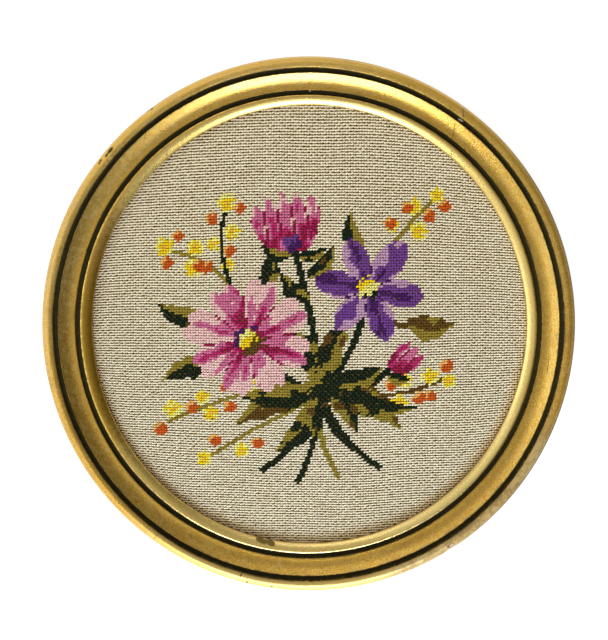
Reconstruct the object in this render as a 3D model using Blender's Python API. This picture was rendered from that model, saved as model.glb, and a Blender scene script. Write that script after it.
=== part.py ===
"""A round embroidery in a turned gilt frame, lying on its back with its face up.

The origin is at the middle of the frame's back, on the surface that it rests on.
+Z points out of the stitched face and +Y to the top of the picture. Sizes are in metres.
"""
import math

import bpy
import bmesh

# The frame as a whole
FRAME_DIAMETER = 0.2480
FRAME_HEIGHT = 0.0156
FRAME_STEPS = 96

# Widths of the moulding's members, from the outside in
RIM_WIDTH = 0.00545
OUTER_GROOVE_WIDTH = 0.00205
SCOOP_WIDTH = 0.0078
INNER_GROOVE_WIDTH = 0.00205
BEAD_WIDTH = 0.00465

# Heights above the back, from the outside in
RIM_SPRING_HEIGHT = 0.0112
RIM_LIP_HEIGHT = 0.0151
OUTER_GROOVE_HEIGHT = 0.0124
SCOOP_EDGE_HEIGHT = 0.0135
SCOOP_FLOOR_HEIGHT = 0.0107
INNER_GROOVE_HEIGHT = 0.0088
BEAD_HEIGHT = 0.0101
SIGHT_EDGE_HEIGHT = 0.0083

# Details of the members
RIM_CREST_INSET = 0.0017
RIM_LIP_EASE = 0.0003
SCOOP_LEVEL_SHARE = 0.08
SCOOP_BEND_SHARE = 0.72
BEAD_CREST_WIDTH = 0.0008
BEAD_SHOULDER_DROP = 0.0005

# The back of the frame
BACK_INSET = 0.0012
BACK_CHAMFER = 0.0005
REBATE_DEPTH = 0.0060
REBATE_WIDTH = 0.0052

# The stitched canvas, pulled over the board's edge
CANVAS_THICKNESS = 0.0014
CANVAS_CROWN = 0.0005
CANVAS_RIPPLE = 0.00012
CANVAS_TURN_DOWN = 0.0036
CANVAS_CORNER = 0.0016
CANVAS_RINGS = 9
CANVAS_CORNER_RINGS = 3
CANVAS_STEPS = 72

# The board behind the canvas
BOARD_THICKNESS = 0.0030
BOARD_CHAMFER = 0.0003

# Clearance between pieces that touch
GAP = 0.0003

# Radii and heights that follow from the sizes above
FRAME_RADIUS = FRAME_DIAMETER / 2
RIM_INNER_RADIUS = FRAME_RADIUS - RIM_WIDTH
SCOOP_OUTER_RADIUS = RIM_INNER_RADIUS - OUTER_GROOVE_WIDTH
SCOOP_INNER_RADIUS = SCOOP_OUTER_RADIUS - SCOOP_WIDTH
BEAD_OUTER_RADIUS = SCOOP_INNER_RADIUS - INNER_GROOVE_WIDTH
SIGHT_RADIUS = BEAD_OUTER_RADIUS - BEAD_WIDTH
REBATE_RADIUS = SIGHT_RADIUS + REBATE_WIDTH
CANVAS_RADIUS = REBATE_RADIUS - GAP
CANVAS_FLAT_RADIUS = CANVAS_RADIUS - CANVAS_CORNER
CANVAS_TOP = REBATE_DEPTH - GAP
BOARD_TOP = CANVAS_TOP - CANVAS_THICKNESS - GAP
BOARD_RADIUS = CANVAS_RADIUS - CANVAS_THICKNESS - GAP


def clear_scene():
    for item in list(bpy.data.objects):
        bpy.data.objects.remove(item, do_unlink=True)


def make_material(name, colour, roughness, metallic=0.0):
    material = bpy.data.materials.new(name)
    material.use_nodes = True
    shader = material.node_tree.nodes["Principled BSDF"]
    shader.inputs["Base Color"].default_value = (*colour, 1.0)
    shader.inputs["Roughness"].default_value = roughness
    shader.inputs["Metallic"].default_value = metallic
    return material


def finish_object(name, shape, material, sharp_angle):
    """Turn a finished shape into a named object with its faces out and its round faces smooth."""
    bmesh.ops.recalc_face_normals(shape, faces=shape.faces)
    mesh = bpy.data.meshes.new(name)
    shape.to_mesh(mesh)
    shape.free()
    mesh.shade_smooth()
    mesh.set_sharp_from_angle(angle=math.radians(sharp_angle))
    mesh.materials.append(material)
    item = bpy.data.objects.new(name, mesh)
    bpy.context.collection.objects.link(item)
    return item


def ellipse_arc(centre, half_axes, start, end, steps):
    """Points (radius, height) on an ellipse, from one angle to another in degrees."""
    points = []
    for step in range(steps + 1):
        angle = math.radians(start + (end - start) * step / steps)
        reach = centre[0] + half_axes[0] * math.cos(angle)
        height = centre[1] + half_axes[1] * math.sin(angle)
        points.append((reach, height))
    return points


def rim_profile():
    """The rounded rim, from its widest point over the crest to its eased lip at the outer groove."""
    crest_radius = RIM_INNER_RADIUS + RIM_CREST_INSET
    outer_side = ellipse_arc((crest_radius, RIM_SPRING_HEIGHT),
                             (FRAME_RADIUS - crest_radius, FRAME_HEIGHT - RIM_SPRING_HEIGHT), 0, 90, 8)
    lip = [(RIM_INNER_RADIUS + RIM_LIP_EASE, RIM_LIP_HEIGHT),
           (RIM_INNER_RADIUS, RIM_LIP_HEIGHT - RIM_LIP_EASE)]
    return outer_side + lip


def scoop_profile():
    """The hollow scoop: level at its inner edge, then bending up to an even slope at its outer edge."""
    depth = SCOOP_EDGE_HEIGHT - SCOOP_FLOOR_HEIGHT
    bending_share = SCOOP_BEND_SHARE - SCOOP_LEVEL_SHARE
    full_rise = bending_share / 2 + 1 - SCOOP_BEND_SHARE
    steps = 6
    points = []
    for step in range(steps + 1):
        share = 1 - step / steps
        bend = min(max(share - SCOOP_LEVEL_SHARE, 0.0) / bending_share, 1.0)
        rise = bending_share * (bend ** 3 - bend ** 4 / 2) + max(share - SCOOP_BEND_SHARE, 0.0)
        height = SCOOP_FLOOR_HEIGHT + depth * rise / full_rise
        points.append((SCOOP_INNER_RADIUS + SCOOP_WIDTH * share, height))
    return points


def bead_profile():
    """The rounded bead: a short outer slope, a crest, and a fall that steepens to the sight edge."""
    crest_radius = BEAD_OUTER_RADIUS - BEAD_CREST_WIDTH
    steps = 6
    fall = []
    for step in range(steps + 1):
        share = step / steps
        height = BEAD_HEIGHT - (BEAD_HEIGHT - SIGHT_EDGE_HEIGHT) * share ** 2
        fall.append((crest_radius - (crest_radius - SIGHT_RADIUS) * share, height))
    return [(BEAD_OUTER_RADIUS, BEAD_HEIGHT - BEAD_SHOULDER_DROP)] + fall


def frame_profile():
    """The closed outline of the moulding, from the back's outer corner over the face to the rebate."""
    back_radius = FRAME_RADIUS - BACK_INSET
    back = [(back_radius - BACK_CHAMFER, 0.0), (back_radius, BACK_CHAMFER)]
    outer_groove = [(RIM_INNER_RADIUS, OUTER_GROOVE_HEIGHT), (SCOOP_OUTER_RADIUS, OUTER_GROOVE_HEIGHT)]
    inner_groove = [(SCOOP_INNER_RADIUS, INNER_GROOVE_HEIGHT), (BEAD_OUTER_RADIUS, INNER_GROOVE_HEIGHT)]
    rebate = [(SIGHT_RADIUS, REBATE_DEPTH), (REBATE_RADIUS, REBATE_DEPTH), (REBATE_RADIUS, 0.0)]
    return back + rim_profile() + outer_groove + scoop_profile() + inner_groove + bead_profile() + rebate


def make_frame(material):
    """The moulding's outline turned once round into a single ring."""
    shape = bmesh.new()
    corners = [shape.verts.new((radius, 0.0, height)) for radius, height in frame_profile()]
    edges = [shape.edges.new((corners[i - 1], corners[i])) for i in range(len(corners))]
    bmesh.ops.spin(shape, geom=corners + edges, cent=(0, 0, 0), axis=(0, 0, 1), angle=math.tau,
                   steps=FRAME_STEPS, use_merge=True)
    return finish_object("gilt_frame_ring", shape, material, 35)


def canvas_lift(radius, angle):
    """How far the stretched canvas stands above a flat disc: a slight crown and hand-pulled unevenness."""
    share = min(radius / CANVAS_FLAT_RADIUS, 1.0)
    crown = CANVAS_CROWN * (1 - share ** 2)
    pull = math.sin(3 * angle + 0.6) + 0.7 * math.sin(5 * angle + 2.1)
    return crown + CANVAS_RIPPLE * pull * 4 * share ** 2 * (1 - share ** 2)


def canvas_stations():
    """Stations across the canvas, from its middle to its turned-down edge.

    Each station is (radius, height, lean). The lean is how far the cloth's face has turned
    from straight up, at 0, to straight out, at a right angle.
    """
    flat_step = CANVAS_FLAT_RADIUS / CANVAS_RINGS
    stations = [(flat_step * ring, CANVAS_TOP, 0.0) for ring in range(1, CANVAS_RINGS + 1)]
    corner_height = CANVAS_TOP - CANVAS_CORNER
    for ring in range(1, CANVAS_CORNER_RINGS + 1):
        lean = math.pi / 2 * ring / CANVAS_CORNER_RINGS
        stations.append((CANVAS_FLAT_RADIUS + CANVAS_CORNER * math.sin(lean),
                         corner_height + CANVAS_CORNER * math.cos(lean), lean))
    stations.append((CANVAS_RADIUS, CANVAS_TOP - CANVAS_TURN_DOWN, math.pi / 2))
    return stations


def canvas_ring(shape, station, depth):
    """One ring of points at a depth below the canvas's face, measured square to the face."""
    radius, height, lean = station
    reach = radius - depth * math.sin(lean)
    points = []
    for step in range(CANVAS_STEPS):
        angle = math.tau * step / CANVAS_STEPS
        level = height - depth * math.cos(lean) + canvas_lift(radius, angle)
        points.append(shape.verts.new((reach * math.cos(angle), reach * math.sin(angle), level)))
    return points


def join_rings(shape, first, second):
    for step in range(len(first)):
        shape.faces.new((first[step - 1], first[step], second[step], second[step - 1]))


def canvas_side(shape, depth):
    """The canvas's face or its back, as a fan at the middle and rings out to the turned-down edge."""
    middle = shape.verts.new((0.0, 0.0, CANVAS_TOP + CANVAS_CROWN - depth))
    rings = [canvas_ring(shape, station, depth) for station in canvas_stations()]
    for step, point in enumerate(rings[0]):
        shape.faces.new((middle, rings[0][step - 1], point))
    for inner, outer in zip(rings, rings[1:]):
        join_rings(shape, inner, outer)
    return rings[-1]


def make_canvas(material):
    """One sheet of even thickness, crowned in the middle and turned down at its edge."""
    shape = bmesh.new()
    face_edge = canvas_side(shape, 0.0)
    back_edge = canvas_side(shape, CANVAS_THICKNESS)
    join_rings(shape, face_edge, back_edge)
    return finish_object("stitched_canvas", shape, material, 50)


def make_board(material):
    """A plain round board with its edges eased."""
    shape = bmesh.new()
    bmesh.ops.create_cone(shape, cap_ends=True, cap_tris=False, segments=CANVAS_STEPS,
                          radius1=BOARD_RADIUS, radius2=BOARD_RADIUS, depth=BOARD_THICKNESS)
    upright_height = BOARD_THICKNESS / 2
    rim_edges = [edge for edge in shape.edges
                 if abs(edge.verts[0].co.z - edge.verts[1].co.z) < upright_height]
    bmesh.ops.bevel(shape, geom=rim_edges, offset=BOARD_CHAMFER, segments=1, affect='EDGES')
    board = finish_object("backing_board", shape, material, 35)
    board.location.z = BOARD_TOP - BOARD_THICKNESS / 2
    return board


def main():
    clear_scene()
    make_frame(make_material("aged_gilt", (0.62, 0.42, 0.13), 0.42, 0.85))
    make_canvas(make_material("cream_wool_on_canvas", (0.72, 0.64, 0.50), 0.9))
    make_board(make_material("grey_brown_board", (0.42, 0.34, 0.24), 0.85))


main()
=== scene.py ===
"""The looks of a round stitched posy, pulled over a board and set in a turned gilt frame."""
import math

import bpy
import numpy as np
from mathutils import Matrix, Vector


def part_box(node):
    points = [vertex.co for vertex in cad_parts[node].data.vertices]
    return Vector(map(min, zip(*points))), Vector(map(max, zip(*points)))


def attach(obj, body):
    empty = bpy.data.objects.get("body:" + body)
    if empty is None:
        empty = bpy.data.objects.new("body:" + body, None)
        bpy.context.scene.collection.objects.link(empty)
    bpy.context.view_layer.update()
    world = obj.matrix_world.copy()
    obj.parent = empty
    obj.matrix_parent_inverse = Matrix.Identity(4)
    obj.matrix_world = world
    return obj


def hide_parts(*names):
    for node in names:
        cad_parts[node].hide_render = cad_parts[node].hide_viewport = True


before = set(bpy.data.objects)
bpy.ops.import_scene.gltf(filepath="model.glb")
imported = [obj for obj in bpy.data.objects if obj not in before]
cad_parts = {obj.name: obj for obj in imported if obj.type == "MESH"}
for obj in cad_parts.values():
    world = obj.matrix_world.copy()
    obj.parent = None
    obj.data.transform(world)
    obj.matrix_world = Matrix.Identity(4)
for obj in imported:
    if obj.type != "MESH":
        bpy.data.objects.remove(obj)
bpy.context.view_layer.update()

RING_LOW, RING_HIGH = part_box("gilt_frame_ring")
CANVAS_LOW, CANVAS_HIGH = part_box("stitched_canvas")

# Sizes of the moulding, in metres, from the outside in
FRAME_RADIUS = (RING_HIGH[0] - RING_LOW[0]) / 2
FRAME_HEIGHT = RING_HIGH[2]
RIM_WIDTH = 0.00545
OUTER_GROOVE_WIDTH = 0.00205
SCOOP_WIDTH = 0.0078
INNER_GROOVE_WIDTH = 0.00205
BEAD_WIDTH = 0.00465
RIM_SPRING_HEIGHT = 0.0112
RIM_LIP_HEIGHT = 0.0151
RIM_LIP_EASE = 0.00032
RIM_CREST_INSET = 0.0017
SCOOP_BEND_SHARE = 0.72
SCOOP_LEVEL_SHARE = 0.08
OUTER_GROOVE_HEIGHT = 0.0124
SCOOP_EDGE_HEIGHT = 0.0135
SCOOP_FLOOR_HEIGHT = 0.0107
INNER_GROOVE_HEIGHT = 0.0088
BEAD_HEIGHT = 0.0101
BEAD_ROUND_WIDTH = 0.0008
BEAD_ROUND_HEIGHT = 0.0005
SIGHT_EDGE_HEIGHT = 0.0083
SIGHT_EASE_WIDTH = 0.00008
SIGHT_EASE_HEIGHT = 0.00016
REBATE_DEPTH = 0.0060
REBATE_WIDTH = 0.0052
BACK_INSET = 0.0012
BACK_CHAMFER = 0.0005
RIM_INNER_RADIUS = FRAME_RADIUS - RIM_WIDTH
SCOOP_OUTER_RADIUS = RIM_INNER_RADIUS - OUTER_GROOVE_WIDTH
SCOOP_INNER_RADIUS = SCOOP_OUTER_RADIUS - SCOOP_WIDTH
BEAD_OUTER_RADIUS = SCOOP_INNER_RADIUS - INNER_GROOVE_WIDTH
SIGHT_RADIUS = BEAD_OUTER_RADIUS - BEAD_WIDTH
REBATE_RADIUS = SIGHT_RADIUS + REBATE_WIDTH
EASED_EDGE = 0.00022
SIGHT_OFFSET = 0.0004
FACE_WAVER = 0.00004
RING_STEPS = 420
HAIRBREADTH = 0.0001

# Dents in the rim's outer edge. Each is an angle in degrees, then half a length and a depth in metres
DENTS = ((126.2, 0.0022, 0.0004), (122.2, 0.0016, 0.0003), (-57.3, 0.0024, 0.0004), (139.0, 0.0020, 0.0002))

# How far the ring is out of round at four radii, as shares of each radius
MEMBER_RADII = (SIGHT_RADIUS, BEAD_OUTER_RADIUS, RIM_INNER_RADIUS, FRAME_RADIUS)
WIDER_ACROSS = (-0.0054, -0.0008, -0.0030, -0.0026)
WIDER_UPWARD = (0.0070, 0.0055, 0.0038, 0.0026)

# Sizes of the canvas and its stitches
CANVAS_RADIUS = (CANVAS_HIGH[0] - CANVAS_LOW[0]) / 2
CANVAS_TOP = 0.0057
CANVAS_CROWN = 0.0005
CANVAS_RIPPLE = 0.00012
CANVAS_CORNER = 0.0016
CANVAS_SOLID = 0.0014
CANVAS_CLEARANCE = 0.0002
CANVAS_TURNED_EDGE = 0.0020
CANVAS_FLAT_RADIUS = CANVAS_RADIUS - CANVAS_CORNER
STITCH_PITCH = 0.00127
STITCH_HEIGHT = 0.00072
STITCHED_RADIUS = SIGHT_RADIUS + 0.0024
STITCHED_MARGIN = 0.004
GROUND_BANDS = 4
CHART_REACH = 84

# How far a stitch is off its place, in pitches
ROW_STAGGER = 0.052
STRAY_ALONG = 0.12
STRAY_UP = 0.15

# Each measure of a stitch, how far it varies and what a coloured one adds, in pitches or degrees
HALF_LENGTH = (0.61, 0.13, 0.05)
HALF_WIDTH = (0.305, 0.09, 0.09)
LEAN = (12, 14, 14)

# How high a stitch's middle stands, how much that varies and how much of it is its round back, in metres
STITCH_CREST = 0.00062
STITCH_CREST_SPREAD = 0.00012
STITCH_ROUND = 0.00024

# Where a stitch's points are: shares of its half length, and angles round its back
STRAND_SHARES = np.array([-1.0, -0.62, 0.0, 0.62, 1.0])
STRAND_SIDES = np.radians(np.linspace(180, 0, 5))

# Threads, as linear red, green and blue
THREADS = {
    "cream": (1.0, 0.862, 0.675),
    "deep_magenta": (0.30, 0.004, 0.060),
    "magenta": (0.52, 0.022, 0.155),
    "mid_pink": (0.66, 0.165, 0.335),
    "pale_pink": (0.90, 0.57, 0.56),
    "deep_purple": (0.062, 0.008, 0.120),
    "mid_purple": (0.165, 0.050, 0.29),
    "lavender": (0.55, 0.33, 0.53),
    "dark_green": (0.001, 0.011, 0.003),
    "olive": (0.31, 0.235, 0.030),
    "brown": (0.115, 0.058, 0.006),
    "yellow": (0.98, 0.66, 0.008),
    "pale_yellow": (0.95, 0.87, 0.26),
    "orange": (0.63, 0.100, 0.009),
    "light_orange": (0.88, 0.47, 0.13),
}
THREAD_NUMBERS = {name: number for number, name in enumerate(THREADS)}
FAMILIES = {
    "pink_stitches": ("deep_magenta", "magenta", "mid_pink", "pale_pink"),
    "violet_stitches": ("deep_purple", "mid_purple", "lavender"),
    "green_stitches": ("dark_green", "olive", "brown"),
    "yellow_and_orange_stitches": ("yellow", "pale_yellow", "orange", "light_orange"),
}
SMALL_BLOOM = ("yellow", "yellow", "pale_yellow")
BERRY = ("orange", "orange", "light_orange")

# The gilding, its dirt and its damage, and its painted light and shade, as linear red, green and blue
GILT = {
    "rubbed": (0.82, 0.51, 0.068),
    "plain": (0.69, 0.380, 0.033),
    "dull": (0.37, 0.185, 0.017),
    "dust": (0.62, 0.50, 0.25),
    "pale": (0.70, 0.50, 0.16),
    "sparkle": (0.96, 0.68, 0.17),
    "bright_bead": (0.86, 0.64, 0.19),
    "painted_shade_bead": (0.37, 0.21, 0.018),
    "warm_arris_highlight": (0.92, 0.60, 0.13),
    "pale_arris_highlight": (0.94, 0.80, 0.44),
    "low_rim_highlight": (0.93, 0.73, 0.27),
    "painted_shade_upper_right": (0.44, 0.29, 0.055),
    "painted_light_top_rim": (0.92, 0.58, 0.075),
    "bared_light": (0.60, 0.46, 0.22),
    "bared_dark": (0.27, 0.18, 0.07),
    "deep": (0.36, 0.17, 0.008),
    "bead_slope_highlight": (1.0, 0.80, 0.27),
    "sight_lip_shade": (0.28, 0.16, 0.03),
    "dirt_and_shade": (0.10, 0.055, 0.010),
    "pit": (0.075, 0.045, 0.015),
    "bare_ground": (0.040, 0.029, 0.004),
    "bare_bead": (0.150, 0.100, 0.016),
    "stain": (0.50, 0.20, 0.025),
    "crack": (0.07, 0.035, 0.012),
    "black": (0.016, 0.012, 0.002),
    "worn_black": (0.046, 0.035, 0.006),
    "chip": (0.78, 0.60, 0.40),
}

# Marks on the gilding, in millimetres: a centre, half the length, half the width and a turn in degrees
BARE_PATCHES = (
    ((-90.6, 81.5), 1.9, 0.85, 50), ((-92.2, 79.3), 1.3, 0.52, 50),
    ((-95.1, 76.8), 0.9, 0.52, 50), ((-95.6, 75.7), 0.6, 0.45, 50),
    ((-22.2, -101.2), 3.1, 1.15, -22), ((-17.8, -102.3), 2.3, 1.35, -26),
    ((-20.1, -101.6), 1.5, 0.8, -24), ((-28.8, -119.5), 0.55, 0.42, 0),
    ((-17.3, -121.4), 0.45, 0.36, 0), ((-31.6, -116), 1.1, 0.36, 60),
    ((-88.4, -81.8), 0.45, 0.32, 0), ((-65.5, 79.9), 0.42, 0.42, 0),
    ((-71.6, 100.3), 0.6, 0.4, 40))
HAIRLINES = (
    ((70.6, 98.5), 2.8, 0.15, 93), ((66.7, 90.7), 4, 0.13, 86),
    ((66, 80.4), 1.7, 0.14, 85), ((-71.2, -97.6), 2.2, 0.15, 47),
    ((111.5, -17.5), 4.6, 0.13, 84), ((66.7, -101.9), 2.1, 0.8, 28))
STAINS = (
    ((70.4, 98.8), 2.6, 1.1, 93), ((66.7, 90.7), 4.2, 0.8, 86))
CHIPS = (
    ((69.6, 95.3), 1.4, 0.42, -28), ((70.3, 100.4), 1, 0.16, 90),
    ((71, 98.3), 0.9, 0.18, 86), ((66.3, 82.8), 0.5, 0.28, -40),
    ((78.8, -91.5), 1, 0.18, -65), ((66.9, -101.8), 1.3, 0.42, 30),
    ((0.6, 109), 0.4, 0.3, 0), ((-74.9, 93.2), 0.6, 0.3, 50))


class Value:
    """A socket of a material. Sums on it are written as Python and add their own nodes."""

    def __init__(self, finish, socket):
        self.finish = finish
        self.socket = socket

    def sum(self, operation, first, second):
        return self.finish.node("ShaderNodeMath", {"operation": operation}, {0: first, 1: second})

    def __add__(self, other):
        return self.sum("ADD", self, other)

    def __sub__(self, other):
        return self.sum("SUBTRACT", self, other)

    def __rsub__(self, other):
        return self.sum("SUBTRACT", other, self)

    def __mul__(self, other):
        return self.sum("MULTIPLY", self, other)

    def __truediv__(self, other):
        return self.sum("DIVIDE", self, other)

    __radd__ = __add__
    __rmul__ = __mul__


class Graph:
    """A node tree. Its node method adds any node: its type, its settings, then its sockets."""

    def __init__(self, tree):
        self.tree = tree

    def node(self, kind, settings=None, sockets=None, output=0):
        made = self.tree.nodes.new(kind)
        for key, value in (settings or {}).items():
            setattr(made, key, value)
        for key, value in (sockets or {}).items():
            self.plug(made.inputs[key], value)
        return Value(self, made.outputs[output])

    def plug(self, socket, value):
        if isinstance(value, Value):
            self.tree.links.new(value.socket, socket)
        elif isinstance(value, tuple) and len(value) == 3 and socket.type == "RGBA":
            socket.default_value = (*value, 1.0)
        else:
            socket.default_value = value

    def place(self):
        return self.node("ShaderNodeTexCoord", output="Object")

    def parts(self, vector):
        split = self.node("ShaderNodeSeparateXYZ", sockets={0: vector})
        outputs = split.socket.node.outputs
        return [Value(self, outputs[axis]) for axis in range(3)]

    def noise(self, vector, scale, detail, roughness=0.5):
        return self.node("ShaderNodeTexNoise", sockets={
            "Vector": vector, "Scale": scale, "Detail": detail, "Roughness": roughness})

    def between(self, value, low, high):
        """0 where value is low, 1 where it is high, with a soft step between them."""
        return self.node("ShaderNodeMapRange", {"interpolation_type": "SMOOTHSTEP"}, {
            "Value": value, "From Min": low, "From Max": high})

    def most(self, *values):
        """The largest of two or more values."""
        largest = values[0]
        for value in values[1:]:
            largest = self.node("ShaderNodeMath", {"operation": "MAXIMUM"}, {0: largest, 1: value})
        return largest

    def wave(self, angle):
        return self.node("ShaderNodeMath", {"operation": "SINE"}, {0: angle})

    def unsigned(self, value):
        return self.node("ShaderNodeMath", {"operation": "ABSOLUTE"}, {0: value})

    def blend(self, factor, first, second, way="MIX"):
        """A mix of two colours."""
        return self.node("ShaderNodeMix", {"data_type": "RGBA", "blend_type": way}, {
            0: factor, 6: first, 7: second}, output=2)

    def bump(self, height, depth, strength):
        return self.node("ShaderNodeBump", sockets={
            "Height": height, "Distance": depth, "Strength": strength})

    def marks(self, x, y, places):
        """1 within small long marks that fade at their edges. The marks are in millimetres."""
        found = []
        for centre, half_length, half_width, turn in places:
            cos, sin = math.cos(math.radians(turn)), math.sin(math.radians(turn))
            dx, dy = x - centre[0] / 1000, y - centre[1] / 1000
            along = (dx * cos + dy * sin) / (half_length / 1000)
            across = (dy * cos - dx * sin) / (half_width / 1000)
            found.append(self.between(along * along + across * across, 1.25, 0.55))
        return self.most(*found)


class Finish(Graph):
    """One material of the object, made around its surface shader."""

    def __init__(self, name, **shader_values):
        self.material = bpy.data.materials.new(name)
        self.material.use_nodes = True
        super().__init__(self.material.node_tree)
        self.shader = self.tree.nodes["Principled BSDF"]
        for socket, value in shader_values.items():
            self.shader.inputs[socket.replace("_", " ")].default_value = value

    def drive(self, **sockets):
        for socket, value in sockets.items():
            self.plug(self.shader.inputs[socket.replace("_", " ")], value)


def add_object(name, data):
    item = bpy.data.objects.new(name, data)
    bpy.context.collection.objects.link(item)
    return item


def make_mesh(name, points, faces, materials, face_slots=None):
    """A smooth-shaded object from arrays of points and of faces with four corners."""
    mesh = bpy.data.meshes.new(name)
    mesh.vertices.add(len(points))
    mesh.vertices.foreach_set("co", np.asarray(points, np.float32).ravel())
    mesh.loops.add(faces.size)
    mesh.loops.foreach_set("vertex_index", faces.astype(np.int32).ravel())
    mesh.polygons.add(len(faces))
    mesh.polygons.foreach_set("loop_start", np.arange(0, faces.size, 4, dtype=np.int32))
    for material in materials:
        mesh.materials.append(material)
    if face_slots is not None:
        mesh.polygons.foreach_set("material_index", face_slots.astype(np.int32))
    mesh.update(calc_edges=True)
    mesh.validate()
    mesh.shade_smooth()
    return add_object(name, mesh)


def add_map(mesh, name, per_point):
    """A UV map from one pair of numbers for each point."""
    corners = np.empty(len(mesh.loops), np.int32)
    mesh.loops.foreach_get("vertex_index", corners)
    layer = mesh.uv_layers.new(name=name)
    layer.uv.foreach_set("vector", np.asarray(per_point, np.float32)[corners].ravel())


def grid_faces(rows, columns, closed_rows=False, closed_columns=False):
    """Faces between neighbouring points of a grid, with its edges joined where it is closed."""
    row = np.arange(rows if closed_rows else rows - 1)
    column = np.arange(columns if closed_columns else columns - 1)
    row, column = [grid.ravel() for grid in np.meshgrid(row, column, indexing="ij")]
    next_row, next_column = (row + 1) % rows, (column + 1) % columns
    return np.stack([row * columns + column, row * columns + next_column,
                     next_row * columns + next_column, next_row * columns + column], 1)


def arc(centre, half_axes, start, end, steps):
    """Points (radius, height) on an ellipse, from one angle to another in degrees."""
    angle = np.radians(np.linspace(start, end, steps + 1))
    return np.stack([centre[0] + half_axes[0] * np.cos(angle), centre[1] + half_axes[1] * np.sin(angle)], 1)


def moulding_profile():
    """The closed outline of the moulding, from the back's outer corner over the face to the rebate."""
    back_radius = FRAME_RADIUS - BACK_INSET
    rim_crest = RIM_INNER_RADIUS + RIM_CREST_INSET
    bead_crest = BEAD_OUTER_RADIUS - BEAD_ROUND_WIDTH
    ease = EASED_EDGE
    share = np.linspace(1, 0, 19)
    bend = np.clip((share - SCOOP_LEVEL_SHARE) / (SCOOP_BEND_SHARE - SCOOP_LEVEL_SHARE), 0.0, 1.0)
    bent = (SCOOP_BEND_SHARE - SCOOP_LEVEL_SHARE) * (bend ** 3 - bend ** 4 / 2)
    rise = bent + np.maximum(share - SCOOP_BEND_SHARE, 0)
    rise = rise / rise[0]
    scoop = np.stack([SCOOP_INNER_RADIUS + SCOOP_WIDTH * share,
                      SCOOP_FLOOR_HEIGHT + (SCOOP_EDGE_HEIGHT - SCOOP_FLOOR_HEIGHT) * rise], 1)
    slope = np.linspace(0, 1, 15)
    bead = np.stack([bead_crest - (bead_crest - SIGHT_RADIUS) * slope,
                     BEAD_HEIGHT - (BEAD_HEIGHT - SIGHT_EDGE_HEIGHT) * slope ** 2], 1)
    runs = [
        [(back_radius - BACK_CHAMFER, 0.0), (back_radius, BACK_CHAMFER)],
        arc((rim_crest, RIM_SPRING_HEIGHT), (FRAME_RADIUS - rim_crest, FRAME_HEIGHT - RIM_SPRING_HEIGHT),
            0, 90, 18),
        arc((RIM_INNER_RADIUS + RIM_LIP_EASE, RIM_LIP_HEIGHT - RIM_LIP_EASE),
            (RIM_LIP_EASE, RIM_LIP_EASE), 105, 180, 5),
        arc((RIM_INNER_RADIUS - ease, OUTER_GROOVE_HEIGHT + ease), (ease, -ease), 0, 90, 3),
        arc((SCOOP_OUTER_RADIUS + ease, OUTER_GROOVE_HEIGHT + ease), (-ease, -ease), 90, 0, 3),
        arc((SCOOP_OUTER_RADIUS - ease, SCOOP_EDGE_HEIGHT - ease), (ease, ease), 0, 70, 3),
        scoop[1:-1],
        arc((SCOOP_INNER_RADIUS + ease, SCOOP_FLOOR_HEIGHT - ease), (-ease, ease), 80, 0, 3),
        arc((SCOOP_INNER_RADIUS - ease, INNER_GROOVE_HEIGHT + ease), (ease, -ease), 0, 90, 3),
        arc((BEAD_OUTER_RADIUS + ease, INNER_GROOVE_HEIGHT + ease), (-ease, -ease), 90, 0, 3),
        arc((bead_crest, BEAD_HEIGHT - BEAD_ROUND_HEIGHT), (BEAD_ROUND_WIDTH, BEAD_ROUND_HEIGHT),
            0, 90, 5)[:-1],
        bead[:-1],
        [(SIGHT_RADIUS + SIGHT_EASE_WIDTH, SIGHT_EDGE_HEIGHT),
         (SIGHT_RADIUS, SIGHT_EDGE_HEIGHT - SIGHT_EASE_HEIGHT),
         (SIGHT_RADIUS, REBATE_DEPTH), (REBATE_RADIUS, REBATE_DEPTH), (REBATE_RADIUS, 0.0)],
    ]
    return np.concatenate([np.asarray(run, float) for run in runs])


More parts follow.
